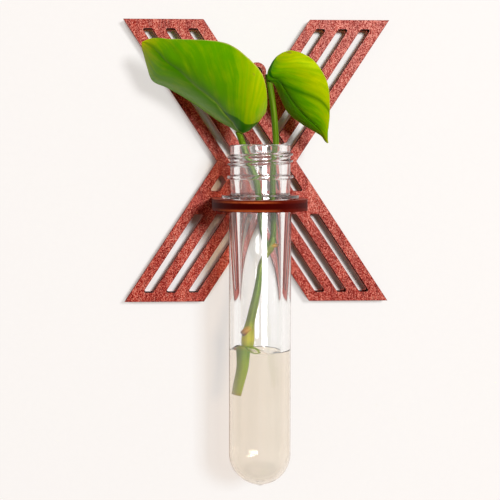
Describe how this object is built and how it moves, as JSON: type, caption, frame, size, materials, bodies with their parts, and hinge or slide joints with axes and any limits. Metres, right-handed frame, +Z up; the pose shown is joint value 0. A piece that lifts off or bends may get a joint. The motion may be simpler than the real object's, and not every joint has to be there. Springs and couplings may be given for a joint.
{
  "type": "propagation vase",
  "caption": "Wall-hung propagation vase: slotted plywood cross with a shelf that carries a clear round-bottomed tube, with water and a leafy cutting.",
  "frame": {"origin": "centre of the hanging eye's hole, on the back face that lies against the wall", "axes": "+Z up along the tube, +Y into the wall, +X to the right seen from the front"},
  "size_m": [0.1178, 0.0456, 0.2012],
  "materials": {
    "stained_plywood": "satin red-brown stain, burnt cut edges",
    "clear_tube": "clear, polished",
    "water": "clear liquid",
    "stem": "soft green plant skin",
    "leaf": "waxy green leaf"
  },
  "bodies": {
    "bracket": {"back_plate": "stained_plywood", "shelf": "stained_plywood"},
    "water": {"water": "water"},
    "tube": {"tube": "clear_tube"},
    "cutting": {"stem": "stem", "left_petiole": "stem", "right_petiole": "stem", "left_leaf": "leaf", "right_leaf": "leaf"}
  },
  "joints": [
    {"name": "tube_lift", "type": "slide", "parent": "bracket", "child": "water", "axis": [0, 0, 1], "range_m": [0, 0.125]},
    {"name": "tube_turn", "type": "hinge", "parent": "water", "child": "tube", "pos_m": [0, -0.0255, -0.0556], "axis": [0, 0, 1], "continuous": true},
    {"name": "cutting_lift", "type": "slide", "parent": "water", "child": "cutting", "axis": [0, 0, 1], "range_m": [0, 0.11], "deforming": ["water"]}
  ]
}
